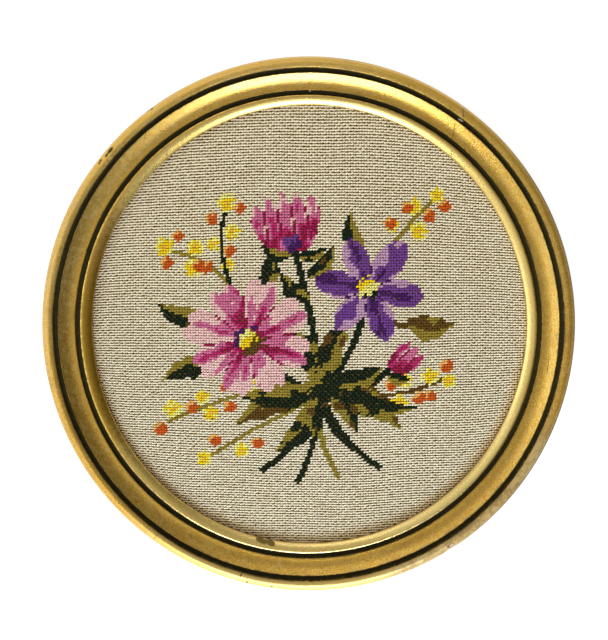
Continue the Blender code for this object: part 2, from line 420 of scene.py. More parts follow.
def make_moulding(gilt, bare_wood):
    """The turned ring, uneven by hand, with dents in its rim and its opening a little off centre."""
    profile = moulding_profile()
    angle = np.linspace(0, math.tau, RING_STEPS, endpoint=False)[:, None]
    reach = np.repeat(profile[None, :, 0], RING_STEPS, 0)
    height = np.repeat(profile[None, :, 1], RING_STEPS, 0)
    on_face = np.clip((height - REBATE_DEPTH) / 0.002, 0, 1) * (reach < FRAME_RADIUS - 0.0002)
    wander = np.sin(3 * angle + 0.4) + 0.6 * np.sin(7 * angle + 1.9) + 0.4 * np.sin(17 * angle)
    reach = reach + on_face * FACE_WAVER * wander
    for dent_angle, dent_length, dent_depth in DENTS:
        away = (angle - math.radians(dent_angle) + math.pi) % math.tau - math.pi
        near = np.exp(-(away * FRAME_RADIUS / dent_length) ** 2)
        reach -= near * dent_depth * (reach > FRAME_RADIUS - 0.0016) * (height > RIM_SPRING_HEIGHT)
    x, y = reach * np.cos(angle), reach * np.sin(angle)
    inner = np.clip((BEAD_OUTER_RADIUS - reach) / (BEAD_WIDTH / 2), 0, 1)
    inner = inner * (reach < REBATE_RADIUS - HAIRBREADTH) * (height > REBATE_DEPTH - HAIRBREADTH)
    x = x + SIGHT_OFFSET * inner
    x = x * (1 + np.interp(reach, MEMBER_RADII, WIDER_ACROSS))
    y = y * (1 + np.interp(reach, MEMBER_RADII, WIDER_UPWARD))
    points = np.stack([x, y, height], 2).reshape(-1, 3)
    faces = grid_faces(RING_STEPS, len(profile), True, True)[:, ::-1]
    behind = height.reshape(-1)[faces].max(1) <= REBATE_DEPTH + 1e-6
    outside = reach.reshape(-1)[faces].mean(1) > FRAME_RADIUS - 0.0025
    ring = make_mesh("gilt_moulding", points, faces, [gilt, bare_wood], behind & ~outside)
    turned_radius = np.repeat(profile[None, :, 0], RING_STEPS, 0).reshape(-1)
    add_map(ring.data, "turning", np.stack([turned_radius, height.reshape(-1)], 1))
    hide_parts("gilt_frame_ring")
    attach(ring, "root")


def canvas_lift(reach, angle):
    """How far the stretched canvas stands above a flat disc, as its solid does."""
    share = np.minimum(reach / CANVAS_FLAT_RADIUS, 1.0)
    pull = np.sin(3 * angle + 0.6) + 0.7 * np.sin(5 * angle + 2.1)
    return CANVAS_CROWN * (1 - share ** 2) + CANVAS_RIPPLE * pull * 4 * share ** 2 * (1 - share ** 2)


def make_canvas(finish):
    """The woven canvas under the stitches, turned down over the board's edge."""
    steps = 180
    top = CANVAS_TOP - STITCH_HEIGHT
    thickness = CANVAS_SOLID - STITCH_HEIGHT
    bend = CANVAS_CORNER - STITCH_HEIGHT
    bend_height = CANVAS_TOP - CANVAS_CORNER
    face_stations = [(reach, top, 0.0) for reach in np.linspace(0.0, CANVAS_FLAT_RADIUS, 26)[1:]]
    for turn in np.radians(np.linspace(0, 90, 7)[1:]):
        face_stations.append((CANVAS_FLAT_RADIUS + bend * math.sin(turn),
                              bend_height + bend * math.cos(turn), turn))
    face_stations.append((CANVAS_FLAT_RADIUS + bend, CANVAS_LOW[2] + CANVAS_CLEARANCE, math.pi / 2))
    angle = np.linspace(0, math.tau, steps, endpoint=False)
    rings = []
    for depth, stations in ((0.0, face_stations), (thickness, face_stations[::-1])):
        for reach, height, lean in stations:
            inside = reach - depth * math.sin(lean)
            level = height - depth * math.cos(lean) + canvas_lift(reach, angle)
            rings.append(np.stack([inside * np.cos(angle), inside * np.sin(angle), level], 1))
    middles = np.array([[[0, 0, top + CANVAS_CROWN]], [[0, 0, top + CANVAS_CROWN - thickness]]])
    points = np.concatenate([*rings, *middles])
    back_ring = steps * (len(rings) - 1)
    front_middle, back_middle = len(points) - 2, len(points) - 1
    spoke = np.arange(0, steps, 2)
    after_next = (spoke + 2) % steps
    fans = [np.stack([np.full(len(spoke), front_middle), spoke, spoke + 1, after_next], 1),
            np.stack([np.full(len(spoke), back_middle), back_ring + after_next,
                      back_ring + spoke + 1, back_ring + spoke], 1)]
    faces = np.concatenate([grid_faces(len(rings), steps, closed_columns=True)[:, ::-1], *fans])
    canvas = make_mesh("woven_canvas", points, faces, [finish])
    add_map(canvas.data, "weave", np.stack(count_threads(points[:, 0], points[:, 1]), 1))
    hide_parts("stitched_canvas")
    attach(canvas, "root")
    return canvas


def warp(x, y):
    """How far the worker's rows have drifted from a straight even grid, at a place in metres."""
    x, y = x * 1000, y * 1000
    pulled = 0.000335 * y ** 2 - 6.7e-6 * x ** 2 * y
    waves = 0.22 * np.sin(0.083 * x + 0.047 * y + 1.0) + 0.12 * np.sin(0.151 * x - 0.06 * y + 2.6)
    along = 0.20 * np.sin(0.071 * y + 0.02 * x + 0.5) + 0.10 * np.sin(0.19 * y + 1.7)
    return along / 1000, (pulled + waves) / 1000


def count_threads(x, y):
    """The place on the stitch grid of a point of the canvas, in stitches from its middle."""
    column, row = x, y
    for _ in range(4):
        along, up = warp(column, row)
        column, row = x - along, y - up
    return column / STITCH_PITCH, row / STITCH_PITCH


def chance(seed, *numbers):
    """An even spread from 0 to 1 that is the same every time for the same numbers."""
    mixed = seed * 37.719 + 0.5
    for weight, number in zip((12.9898, 78.233, 45.164), numbers):
        mixed = mixed + weight * number
    return np.mod(np.sin(mixed) * 43758.5453, 1.0)


class Chart:
    """The posy, counted out on the grid of stitches. Sizes and places are in stitches from the middle."""

    def __init__(self, reach):
        counts = np.arange(-reach, reach + 1)
        self.column, self.row = np.meshgrid(counts, counts)
        self.thread = np.zeros(self.column.shape, int)
        self.hand = chance(3, self.column, self.row) - 0.5
        drift = np.sin(0.55 * self.column + 1.1) * np.sin(0.47 * self.row + 0.4)
        drift = drift + 0.5 * np.sin(0.31 * self.column - 0.62 * self.row + 2.0)
        self.patchy = 0.22 * self.hand + 0.55 * drift

    def work(self, where, thread):
        self.thread[where] = THREAD_NUMBERS[thread]

    def local(self, centre, turn):
        """The grid's places measured from a centre, with the second direction turned from straight up."""
        angle = math.radians(turn)
        x, y = self.column - centre[0], self.row - centre[1]
        return x * math.cos(angle) + y * math.sin(angle), y * math.cos(angle) - x * math.sin(angle)

    def shade(self, where, tone, threads):
        """Fills a shape with threads from dark to light as its tone goes from 0 to 1."""
        steps = np.clip((tone * len(threads)).astype(int), 0, len(threads) - 1)
        for step, thread in enumerate(threads):
            self.work(where & (steps == step), thread)

    def stem(self, points, half_width, thread):
        """A line of stitches along a smooth curve through the points."""
        points = np.asarray(points, float)
        share = np.linspace(0, 1, len(points))
        fine = np.linspace(0, 1, 90)
        bend = np.polyfit(share, points, len(points) - 1)
        line = sum(power * fine[:, None] ** (len(points) - 1 - i) for i, power in enumerate(bend))
        away = np.full(self.column.shape, np.inf)
        for x, y in line:
            away = np.minimum(away, np.hypot(self.column - x, self.row - y))
        self.work(away < half_width, thread)
        return line

    def leaf(self, base, tip, half_width, threads, bend, notched=0.0):
        """A pointed leaf with a shaded half, a light half and a vein between them."""
        length = math.dist(base, tip)
        turn = math.degrees(math.atan2(base[0] - tip[0], tip[1] - base[1]))
        x, y = self.local(base, turn)
        share = y / length
        inside = (share > 0) & (share < 1)
        x = x - bend * length * 4 * share * (1 - share)
        swell = np.sin(np.pi * np.clip(share, 0, 1) ** 0.8) * half_width
        swell = swell * (1 + notched * np.sin(share * 19 + 1))
        where = inside & (np.abs(x) < swell)
        tone = 0.5 + 0.34 * np.sign(x) + 0.5 * self.patchy
        self.shade(where, np.clip(tone, 0, 0.999), threads)
        self.work(where & (np.abs(x) < 0.55) & (share < 0.8) & (half_width > 2.4), threads[0])

    def bloom(self, centre, reach, petals, turn, threads, pointed, parted):
        """An open flower, shaded from its throat to the edges of its petals."""
        x, y = self.local(centre, turn)
        away = np.hypot(x, y)
        angle = (np.arctan2(y, x) / math.tau) % 1.0 * petals
        which, across = np.floor(angle), np.abs(angle % 1.0 - 0.5) * 2
        longer = 0.9 + 0.16 * chance(reach, which)
        if pointed:
            edge = reach * longer * (1 - 0.55 * across ** 1.5)
        else:
            notch = 0.09 * np.exp(-(across / 0.16) ** 2)
            edge = reach * longer * (1 - 0.34 * across ** 3.2 - notch)
        where = away < edge
        share = away / edge
        streaks = 0.26 * np.sin(angle * math.tau * 2 + which * 1.7) * share
        side = 0.16 * np.sin(which * 2.3 + 0.6) + 0.15 * np.sign(angle % 1.0 - 0.5)
        tone = share * 0.95 + streaks + side + 0.22 * self.patchy
        if pointed:
            tone = 0.30 * share + 0.62 * across + side + 0.26 * self.patchy
        self.shade(where, np.clip(tone, 0, 0.999), threads)
        self.work(where & (across > parted) & (share > 0.3), threads[0])

    def disc(self, centre, reach, threads, rough=0.0):
        """A small round, such as a flower's eye or a berry, lit from its upper left."""
        x, y = self.column - centre[0], self.row - centre[1]
        where = np.hypot(x, y) < reach * (1 + rough * self.hand)
        tone = 0.5 + 0.36 * (y - x) / max(reach, 1.0) + 0.3 * self.hand
        self.shade(where, np.clip(tone, 0, 0.999), threads)

    def cup(self, centre, half_width, height, turn, threads, lobes):
        """A half-open flower seen from its side, with a scalloped upper edge."""
        x, y = self.local(centre, turn)
        share = y / height
        wide = half_width * np.sin(np.pi * np.clip(0.14 + 0.52 * share, 0, 1)) ** 0.8
        lobe = x / half_width * lobes / 2 + 0.5
        rim = 1 - 0.24 * np.abs(lobe % 1.0 - 0.5) * 2 - 0.16 * (x / half_width) ** 2
        where = (share > 0) & (share < rim) & (np.abs(x) < wide)
        fold = np.abs(lobe % 1.0 - 0.5) > 0.42
        tone = 0.06 + 0.78 * share + 0.16 * np.cos(lobe * math.tau) + 0.36 * self.patchy
        self.shade(where, np.clip(tone, 0, 0.999), threads)
        self.work(where & fold & (share > 0.15) & (share < 0.72), threads[0])

    def sprig(self, points, twig, blooms, berries):
        """A thin twig with small open blooms and berries set along it."""
        line = self.stem(points, 0.7, twig)
        for place, side, reach in blooms:
            x, y = line[int(place * (len(line) - 1))]
            centre = (x + side[0], y + side[1])
            turn = 11 * reach + 40 * place
            self.bloom(centre, reach + 0.5, 5, turn, SMALL_BLOOM, pointed=False, parted=1.1)
            self.work((self.column == round(centre[0])) & (self.row == round(centre[1])), "light_orange")
        for place, side, reach in berries:
            x, y = line[int(place * (len(line) - 1))]
            self.disc((x + side[0], y + side[1]), reach + 0.5, BERRY)


def work_posy():
    """A generic posy: a pink daisy, a violet star, a pink thistle, a bud and twigs of small blooms."""
    chart = Chart(CHART_REACH)
    knot = (5, -25)
    green = ("dark_green", "dark_green", "olive")
    dull = ("brown", "olive", "olive")
    mixed = ("dark_green", "brown", "olive")
    pinks = ("deep_magenta", "magenta", "mid_pink", "mid_pink", "pale_pink", "pale_pink")
    cups = ("deep_magenta", "magenta", "mid_pink", "pale_pink")
    violets = ("deep_purple", "mid_purple", "mid_purple", "lavender", "lavender")

    for middle, tip in (((-2, -40), (-17, -55)), ((2, -43), (-4, -59)),
                        ((13, -41), (26, -54)), ((9, -38), (19, -48))):
        chart.stem((knot, middle, tip), 1.1, "dark_green")
    chart.stem((knot, (5, -42), (11, -57)), 1.0, "olive")
    for middle, tip in (((-8, -19), (-20, -6)), ((16, -8), (21, 12)),
                        ((1, 2), (-6, 30)), ((20, -24), (32, -13))):
        chart.stem((knot, middle, tip), 1.2, "dark_green")

    chart.sprig(((-26, 10), (-36, 22), (-52, 29)), "olive",
                ((0.62, (-3, -2), 3.3), (0.8, (3, 3), 3.0), (1.0, (-1, 1), 3.4), (0.42, (4, 3), 2.7)),
                ((0.7, (4, -3), 1.9), (0.9, (-4, -4), 1.8), (0.5, (-5, 1), 1.7), (1.0, (4, 5), 1.7)))
    chart.sprig(((-27, 12), (-32, 28), (-30, 43)), "dark_green",
                ((1.0, (0, 2), 3.2), (0.72, (4, 0), 2.8), (0.5, (-3, 3), 2.4)),
                ((0.86, (-4, 1), 1.8), (0.6, (3, -3), 1.7), (1.0, (5, 0), 1.6)))
    chart.sprig(((28, 28), (37, 37), (46, 47)), "olive",
                ((0.5, (4, -2), 3.1), (0.85, (-4, 0), 2.9), (1.0, (1, 1), 2.7), (0.3, (-2, 4), 2.5)),
                ((0.7, (4, 0), 1.9), (0.95, (5, -1), 1.8), (0.4, (-5, 3), 1.7), (0.62, (-3, 4), 1.6)))
    chart.sprig(((2, -22), (-22, -25), (-52, -37)), "olive",
                ((0.5, (-1, 4), 3.1), (0.72, (-2, -4), 3.0), (0.95, (-2, 3), 3.3), (0.84, (2, 5), 2.6)),
                ((0.6, (-2, -4), 1.9), (0.8, (-4, 0), 1.8), (1.0, (-3, -3), 1.9), (0.66, (0, 5), 1.7)))
    chart.sprig(((10, -24), (30, -26), (50, -20)), "brown",
                ((0.6, (0, -4), 3.1), (0.84, (2, 4), 3.2), (1.0, (2, -1), 2.8), (0.72, (-3, 4), 2.6)),
                ((0.74, (2, -3), 1.9), (0.92, (-1, -5), 1.8), (0.5, (1, 4), 1.7), (1.0, (1, 5), 1.8)))
    chart.sprig(((4, -26), (-18, -38), (-38, -51)), "olive",
                ((0.72, (2, -4), 2.7), (1.0, (-1, 0), 2.9)), ((0.85, (-3, 3), 1.8), (0.6, (3, -4), 1.7)))
    chart.stem(((30, 2), (38, 0), (44, 2)), 0.9, "brown")

    for leaf in (
            ((4, -24), (-27, -38), 5.8, dull, 0.10, 0.12),
            ((5, -25), (-13, -48), 4.6, green, -0.10, 0.08),
            ((6, -23), (35, -40), 5.6, dull, -0.12, 0.12), ((8, -22), (41, -31), 4.4, green, 0.12, 0.08),
            ((5, -22), (-26, -26), 4.2, green, -0.10, 0.08), ((8, -20), (28, -15), 4.2, green, 0.14, 0.1),
            ((4, -22), (-7, -1), 4.4, green, 0.12, 0.1), ((7, -21), (15, 3), 4.8, mixed, -0.10, 0.1),
            ((6, -24), (3, -43), 4.0, mixed, 0.10, 0.1), ((7, -24), (18, -41), 4.0, mixed, -0.12, 0.1),
            ((1, 9), (-10, 20), 3.2, green, -0.15), ((-1, 18), (9, 30), 3.0, mixed, 0.15),
            ((36, 2), (54, 1), 4.8, dull, 0.12, 0.12), ((-36, -16), (-54, -21), 4.2, green, 0.12, 0.12),
            ((-18, 13), (-15, 29), 3.4, green, 0.15), ((-38, 4), (-56, 9), 3.8, mixed, -0.15, 0.1),
            ((21, 26), (16, 42), 3.4, mixed, -0.16)):
        chart.leaf(*leaf)
    chart.disc((6, -21), 6.4, green, 0.5)

    chart.cup((31, -17), 5.4, 14, -46, cups, 3)
    chart.leaf((29, -18), (38, -20), 2.4, green, 0.1)
    chart.cup((-6, 27), 13.0, 22, 10, pinks, 5)
    chart.disc((-6, 30), 3.4, ("deep_purple", "mid_purple"), 0.5)
    chart.leaf((-5, 26), (7, 29), 2.2, green, 0.16)
    chart.leaf((-6, 26), (-18, 30), 2.2, green, -0.16)
    chart.bloom((22, 14), 21.5, 6, 22, violets, pointed=True, parted=0.95)
    chart.disc((22, 14), 4.0, ("dark_green", "pale_yellow", "yellow"), 0.6)
    chart.bloom((-22, -5), 23.5, 8, 8, pinks, pointed=False, parted=0.95)
    chart.disc((-22, -5), 5.6, ("brown", "deep_magenta", "deep_purple"), 0.4)
    chart.disc((-22, -5), 3.8, ("brown", "yellow", "pale_yellow"), 0.3)
    return chart


def place_stitches(chart):
    """Every stitch of the visible round: its column and row, its place in metres and its thread's number."""
    reach = int(STITCHED_RADIUS / STITCH_PITCH) + 6
    counts = np.arange(-reach, reach + 1)
    column, row = [grid.ravel() for grid in np.meshgrid(counts, counts)]
    along, up = warp(column * STITCH_PITCH, row * STITCH_PITCH)
    x, y = column * STITCH_PITCH + along, row * STITCH_PITCH + up
    kept = np.hypot(x, y) < STITCHED_RADIUS
    column, row, x, y = column[kept], row[kept], x[kept], y[kept]
    thread = np.zeros(column.shape, int)
    charted = np.maximum(np.abs(column), np.abs(row)) <= CHART_REACH
    thread[charted] = chart.thread[row[charted] + CHART_REACH, column[charted] + CHART_REACH]
    return column, row, x, y, thread


def vary(measure, luck, coloured):
    """One of the measures of a stitch, for every stitch."""
    usual, spread, more = measure
    return usual + spread * luck + more * coloured


def shape_strands(x, y, odd, coloured, luck):
    """The points of every stitch, five rows of five: a low rounded bar with its ends tucked down."""
    x = x + STITCH_PITCH * STRAY_ALONG * luck[0]
    y = y + STITCH_PITCH * STRAY_UP * luck[1]
    # As warp draws them, the rows lie wider apart toward the top and closer toward the sides
    spacing = 1 + 0.67 * y - 6.7 * x ** 2
    y = y + STITCH_PITCH * ROW_STAGGER * (2 * odd - 1) * ~coloured
    lean = np.radians(vary(LEAN, luck[2], coloured)) * spacing
    half_length = STITCH_PITCH * vary(HALF_LENGTH, luck[3], coloured)
    half_width = STITCH_PITCH * vary(HALF_WIDTH, luck[4], coloured) * spacing ** 1.5
    crest = STITCH_CREST + STITCH_CREST_SPREAD * luck[5]

    share = STRAND_SHARES[None, :, None]
    lift = np.array([-0.42, 0.62, 1.0, 0.62, -0.42])[None, :, None]
    taper = np.array([0.72, 0.95, 1.0, 0.95, 0.72])[None, :, None]
    side = STRAND_SIDES[None, None, :]
    forward = share * half_length[:, None, None]
    sideways = np.cos(side) * taper * half_width[:, None, None]
    centre_height = lift * (crest - STITCH_ROUND)[:, None, None]
    height = centre_height + STITCH_ROUND * np.sqrt(np.abs(np.sin(side)))
    cos, sin = np.cos(lean)[:, None, None], np.sin(lean)[:, None, None]
    px = x[:, None, None] + forward * cos - sideways * sin
    py = y[:, None, None] + forward * sin + sideways * cos
    ground = CANVAS_TOP - STITCH_HEIGHT + canvas_lift(np.hypot(x, y), np.arctan2(y, x))
    pz = ground[:, None, None] + height
    return y, np.stack([px, py, pz], 3)


def group_stitches(y, thread):
    """The pieces of the stitching: each a name, its threads and which stitches are in it."""
    groups = []
    ground_rows = np.quantile(y[thread == 0], np.linspace(0, 1, GROUND_BANDS + 1))
    ground_rows[0], ground_rows[-1] = -1, 1
    for band in range(GROUND_BANDS):
        inside = (thread == 0) & (y >= ground_rows[band]) & (y < ground_rows[band + 1])
        groups.append((f"ground_stitches_{band + 1}", ("cream",), inside))
    for name, names in FAMILIES.items():
        groups.append((name, names, np.isin(thread, [THREAD_NUMBERS[n] for n in names])))
    return groups


def make_stitches(chart, finishes):
    """Every half-cross stitch of the visible round as a raised strand, grouped by its thread."""
    column, row, x, y, thread = place_stitches(chart)
    luck = [chance(seed, column, row) - 0.5 for seed in range(11, 18)]
    tone = luck[6] + 0.5
    y, points = shape_strands(x, y, (column + row) % 2, thread > 0, luck)
    across, along = len(STRAND_SIDES), len(STRAND_SHARES)
    strand_points = across * along
    strand_faces = grid_faces(along, across)[:, ::-1]
    strand = np.stack(np.broadcast_arrays(STRAND_SHARES[:, None], STRAND_SIDES / math.pi), 2).reshape(-1, 2)

    made = []
    for name, names, inside in group_stitches(y, thread):
        number = int(inside.sum())
        group_points = points[inside].reshape(-1, 3)
        first_points = np.arange(number)[:, None, None] * strand_points
        group_faces = (strand_faces[None] + first_points).reshape(-1, 4)
        order = {THREAD_NUMBERS[n]: i for i, n in enumerate(names)}
        slots = np.array([order[t] for t in thread[inside]])
        item = make_mesh(name, group_points, group_faces, [finishes[n] for n in names],
                         np.repeat(slots, len(strand_faces)))
        add_map(item.data, "OFBake", group_points[:, :2] / (2 * STITCHED_RADIUS + STITCHED_MARGIN) + 0.5)
        add_map(item.data, "strand", np.tile(strand, (number, 1)))
        mark = item.data.attributes.new("tone", "FLOAT", "POINT")
        mark.data.foreach_set("value", np.repeat(tone[inside], strand_points).astype(np.float32))
        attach(item, "root")
        made.append(item)
    return made


def thread_finish(name, colour):
    """Soft wool yarn of one dye, with its own small unevenness, the ridges of its twist, painted shade on
    the flanks and ends of its strands, the cloth a little darker and warmer towards the top, and a painted
    brown shadow along the lower half of the sight edge.
    """
    finish = Finish(name.replace("_", " ") + " thread", Roughness=0.9, Sheen_Weight=0.04,
                    Sheen_Roughness=0.5, Specular_IOR_Level=0.08)
    dark = tuple(c * 0.90 for c in colour)
    light = tuple(min(1.0, c * 1.14 + 0.012) for c in colour)
    dusky = tuple(c * 0.92 for c in dark)
    crease_shade_colour = (dark[0] * 0.32, dark[1] * 0.225, dark[2] * 0.035)

    place = finish.place()
    x, y, _ = finish.parts(place)
    tone = finish.node("ShaderNodeAttribute", {"attribute_name": "tone"}, output=2)
    dye = finish.noise(place, 95.0, 3.0)
    fibre = finish.noise(place, 5200.0, 3.0, 0.65)
    along, across, _ = finish.parts(finish.node("ShaderNodeUVMap", {"uv_map": "strand"}))
    twist = finish.wave(along * 7.0 + across * 14.0)

    base = finish.blend(tone * 0.55 + dye * 0.45, dark, light)
    soil_and_painted_shade = finish.blend(finish.between(fibre, 0.2, 0.6), dusky, base)
    # Painted shade: the flanks and tucked ends of every strand are darkened as if shaded by the stitches
    # beside them.
    flank = finish.between(finish.unsigned(across - 0.5), 0.34, 0.5)
    dip = finish.between(finish.unsigned(along), 0.84, 1.0)
    soil_and_painted_shade = finish.blend(finish.most(flank, dip) * 0.85, soil_and_painted_shade, crease_shade_colour)
    # Painted shade: the cloth a little darker and warmer towards the top.
    top_shade_and_edge_shadow = finish.blend(finish.between(y, -0.07, 0.07), (1.0, 1.0, 1.0), (0.99, 0.955, 0.90))
    # Painted shadow: a brown band on the cloth along the lower half of the sight edge, where the bead's
    # shadow falls.
    out = x * x + y * y
    painted_edge_shadow = finish.between(out, (SIGHT_RADIUS - 0.0050) ** 2, (SIGHT_RADIUS - 0.0005) ** 2)
    top_shade_and_edge_shadow = finish.blend(painted_edge_shadow * finish.between(y, 0.05, -0.05), top_shade_and_edge_shadow, (1.0, 0.87, 0.69))
    soil_and_painted_shade = finish.blend(1.0, soil_and_painted_shade, top_shade_and_edge_shadow, "MULTIPLY")
    finish.drive(Base_Color=soil_and_painted_shade, Normal=finish.bump(twist * 0.4 + fibre, 0.00007, 0.8))
    return finish.material


def canvas_finish():
    """Coarse tan canvas, with painted shade darkening it down in its holes."""
    finish = Finish("bare tan canvas", Roughness=0.95, Specular_IOR_Level=0.15)
    column, row, _ = finish.parts(finish.node("ShaderNodeUVMap", {"uv_map": "weave"}))
    weave = finish.wave(column * math.pi) * finish.wave(row * math.pi)
    fibre = finish.noise(finish.place(), 2400.0, 4.0, 0.6)
    # Painted shade: the holes of the weave darkened nearly to black.
    hole_shade = finish.between(weave + (fibre - 0.5) * 0.6, 0.15, 0.65)
    yarn = finish.blend(fibre, (0.27, 0.170, 0.026), (0.42, 0.28, 0.055))
    finish.drive(Base_Color=finish.blend(hole_shade, yarn, (0.010, 0.006, 0.002)),
                 Normal=finish.bump(weave * 0.5 + fibre * 0.5, 0.0002, 0.9))
    return finish.material


class Gilding(Finish):
    """Old bronze-toned gilding with black-lined grooves, laid on in coats from its leaf, through painted
    light and shade, to its damage.
    """

    def __init__(self):
        super().__init__("aged gilt", Coat_Roughness=0.22, Coat_IOR=1.75, Specular_IOR_Level=0.2)
        place = self.place()
        self.x, self.y, self.z = self.parts(place)
        self.reach, _, _ = self.parts(self.node("ShaderNodeUVMap", {"uv_map": "turning"}))
        flat = self.node("ShaderNodeCombineXYZ", sockets={0: self.x, 1: self.y})
        heading = self.node("ShaderNodeVectorMath", {"operation": "NORMALIZE"}, {0: flat})
        self.rightward, self.upward, _ = self.parts(heading)
        turned = self.node("ShaderNodeCombineXYZ", sockets={
            0: self.rightward * 5.0, 1: self.upward * 5.0, 2: self.reach * 900.0})
        self.streaks = self.noise(turned, 3.0, 4.0, 0.6)
        self.blotches = self.noise(place, 70.0, 3.0, 0.55)
        self.leaf = self.noise(place, 420.0, 4.0, 0.6)
        self.grain = self.noise(place, 1500.0, 3.0, 0.65)
        self.pinholes = self.noise(place, 1100.0, 2.0, 0.5)
        self.uneven = self.leaf - 0.5
        self.ragged = self.grain - 0.5

    def lay(self, share, name, second=None, where=None):
        """Lays a colour over what is there, by a share from 0 to 1, or a second one where told."""
        colour = GILT[name]
        if second:
            colour = self.blend(where, colour, GILT[second])
        self.colour = self.blend(share, self.colour, colour)

    def beyond(self, radius, start, full):
        """1 past a turned edge. The soft step starts and is full at distances out from its radius."""
        return self.between(self.reach, radius + start, radius + full)

    def lay_leaf(self):
        """The gold itself, with tarnish, dull specks and sparkle, and dust from the scoop outwards."""
        rubbed = self.between(self.leaf * 0.5 + self.streaks * 0.5, 0.35, 0.65)
        self.colour = self.blend(rubbed, GILT["plain"], GILT["rubbed"])
        tarnish = self.between(self.blotches * 0.5 + self.leaf * 0.3 + self.grain * 0.2, 0.50, 0.66)
        self.lay(tarnish * 0.6, "dull")
        self.lay(self.between(self.grain, 0.54, 0.40) * 0.5, "dull")

        self.past_lip = self.beyond(SCOOP_INNER_RADIUS, 0.0008, 0.0035)
        high_left = self.between(self.y - self.x * 0.8, 0.05, 0.13)
        self.dust = self.past_lip * self.between(self.grain + self.uneven * 0.5, 0.50, 0.62)
        self.dust = self.dust * (0.28 + 0.40 * high_left)
        self.sparkle = self.between(self.grain, 0.56, 0.68)
        self.lay(self.dust, "dust")
        self.lay(self.past_lip * high_left * 0.28, "pale")
        self.lay(self.sparkle * (0.5 - 0.3 * high_left), "sparkle")

    def tone_members(self):
        """The rim a little duller, the bead brighter but with painted shade at the far left, the bead's
        arris rubbed with a painted highlight on it, and a painted highlight over the rim along the bottom.
        """
        self.rim = self.beyond(RIM_INNER_RADIUS, 0.0012, 0.0026)
        self.bead = self.beyond(BEAD_OUTER_RADIUS, -0.0006, -0.0016)
        bright_bead = self.bead * self.between(self.x + self.uneven * 0.02, -0.099, -0.080)
        toward_light = self.x * 0.93 + self.y * 0.37 + self.uneven * 0.02
        self.lacquered = self.bead * self.between(toward_light, -0.096, -0.066)
        self.lay(self.rim * 0.12, "dull")
        self.lay(bright_bead * 0.8, "bright_bead")
        # Painted shade: the bead duller at the far left.
        self.lay((self.bead - bright_bead) * 0.7, "painted_shade_bead")

        # The bead's outer arris rubbed, with a painted highlight on it that is paler at the bottom.
        self.arris = self.beyond(BEAD_OUTER_RADIUS, -0.0009, -0.0005)
        self.arris = self.arris * self.beyond(BEAD_OUTER_RADIUS, 0.0001, -0.0001)
        low = self.between(self.y, -0.04, -0.09)
        self.lay(self.arris * 0.75, "warm_arris_highlight", "pale_arris_highlight", low)
        # Painted highlight over the rim along the bottom.
        low_rim_highlight = self.beyond(RIM_INNER_RADIUS, 0.0002, 0.0009) * self.between(self.y, -0.078, -0.116)
        self.lay(low_rim_highlight * 0.52, "low_rim_highlight")

    def tone_sides(self):
        """Brown painted shade at the upper right, painted light brightening the rim at the top, a barer rim
        at the lower right, and there painted shade in the scoop and at the sight lip and a painted highlight
        on the bead's slope.
        """
        upper_right = self.between(self.rightward * 0.7 + self.upward * 0.7, 0.6, 0.95)
        # Painted shade: browner at the upper right.
        self.lay(self.past_lip * upper_right * 0.28, "painted_shade_upper_right")
        # Painted light: the rim brighter at the top.
        self.lay(self.rim * self.between(self.upward, 0.2, 0.85) * 0.4, "painted_light_top_rim")

        lower_right = self.between(self.rightward * 0.68 - self.upward * 0.73, 0.86, 0.95)
        self.bare_rim = self.beyond(RIM_INNER_RADIUS, 0.0, 0.0006) * lower_right
        mottling = self.between(self.leaf * 0.6 + self.blotches * 0.4, 0.40, 0.60)
        self.lay(self.bare_rim * 0.7, "bared_light", "bared_dark", mottling)
        # Painted shade in the middle of the scoop at the lower right.
        deep = self.past_lip * self.beyond(SCOOP_OUTER_RADIUS, -0.0012, -0.0042) * lower_right
        self.lay(deep * 0.45, "deep")
        # Painted highlight on the bead's inner slope at the lower right.
        slope = self.beyond(SIGHT_RADIUS, 0.0009, 0.0019) * self.bead * lower_right
        self.lay(slope * 0.65, "bead_slope_highlight")
        # Painted shade on the steep sight lip at the lower right.
        self.lay(self.beyond(SIGHT_RADIUS, 0.0014, 0.0004) * lower_right * 0.4, "sight_lip_shade")

    def lay_dirt_and_shade(self):
        """Dirt and painted shade beside the lines, painted shade on the rim's lip, low on its outer side
        along the bottom and along its right-hand outer edge, and pits in the leaf.
        """
        lines = (SCOOP_OUTER_RADIUS, RIM_INNER_RADIUS, BEAD_OUTER_RADIUS, SCOOP_INNER_RADIUS)
        beside = [self.between(self.unsigned(self.reach - line), 0.0011, 0.0001) for line in lines]
        patchy = self.between(self.leaf * 0.6 + self.blotches * 0.4, 0.42, 0.6)
        lip = self.beyond(RIM_INNER_RADIUS, 0.0010, 0.0002) * self.beyond(RIM_INNER_RADIUS, -0.0002, 0.0)
        brink = self.between(self.z, RIM_SPRING_HEIGHT + 0.0040, RIM_SPRING_HEIGHT + 0.0024)
        brink = brink * self.beyond(FRAME_RADIUS, -0.0026, -0.0017)
        # Painted shade along the rim's outer edge, strongest on the right-hand side.
        outer_edge_shade = brink * (0.05 + 0.88 * self.between(self.x, 0.06, 0.115))
        # Painted shade low on the rim's outer side along the bottom.
        low_outer_shade = self.between(self.z, RIM_SPRING_HEIGHT + 0.0022, RIM_SPRING_HEIGHT + 0.0008)
        low_outer_shade = low_outer_shade * self.beyond(FRAME_RADIUS, -0.0022, -0.0014) * self.between(self.y, -0.11, -0.03)
        self.outer_shade = self.most(low_outer_shade, outer_edge_shade)
